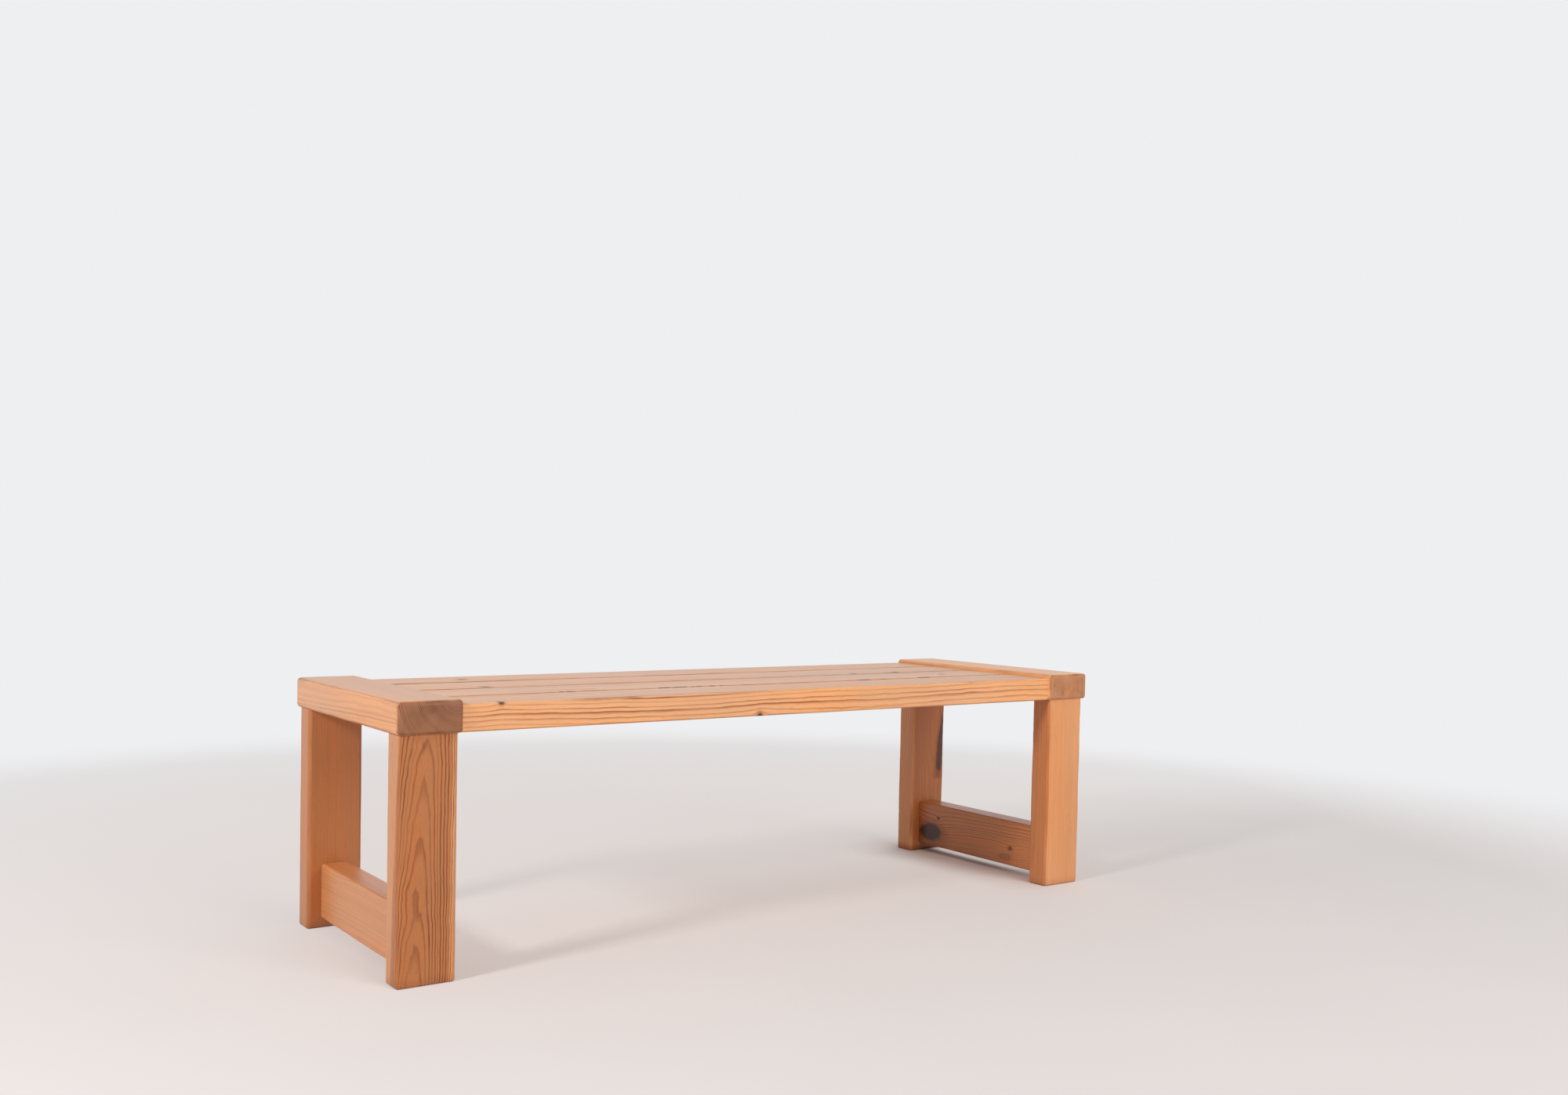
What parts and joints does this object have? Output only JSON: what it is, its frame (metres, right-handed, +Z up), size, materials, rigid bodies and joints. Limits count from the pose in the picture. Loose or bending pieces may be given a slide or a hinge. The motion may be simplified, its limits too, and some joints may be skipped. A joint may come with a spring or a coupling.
{
  "type": "slatted bench",
  "caption": "Low slatted pine bench: long boards between thick rounded end caps, on flat legs tied in pairs by low stretchers.",
  "frame": {"origin": "on the floor under the middle of the bench", "axes": "+X along the seat to the right as seen from the front, +Y from the front to the rear, +Z up"},
  "size_m": [1.4, 0.45, 0.41],
  "materials": {
    "frame_pine": "aged pine with a satin clear finish, honey orange",
    "slat_pine": "aged pine with a satin clear finish, honey, paler on the worn top",
    "dowel_beech": "plain turned beech, hidden in the joints"
  },
  "bodies": {
    "root": {"left_cap": "frame_pine", "right_cap": "frame_pine", "front_left_leg": "frame_pine", "rear_left_leg": "frame_pine", "front_right_leg": "frame_pine", "rear_right_leg": "frame_pine", "left_stretcher": "frame_pine", "right_stretcher": "frame_pine", "slat_1": "slat_pine", "slat_2": "slat_pine", "slat_3": "slat_pine", "slat_4": "slat_pine", "front_left_leg_dowels": "dowel_beech", "rear_left_leg_dowels": "dowel_beech", "front_right_leg_dowels": "dowel_beech", "rear_right_leg_dowels": "dowel_beech", "left_stretcher_dowels": "dowel_beech", "right_stretcher_dowels": "dowel_beech", "slat_1_dowels": "dowel_beech", "slat_2_dowels": "dowel_beech", "slat_3_dowels": "dowel_beech", "slat_4_dowels": "dowel_beech"}
  },
  "joints": []
}
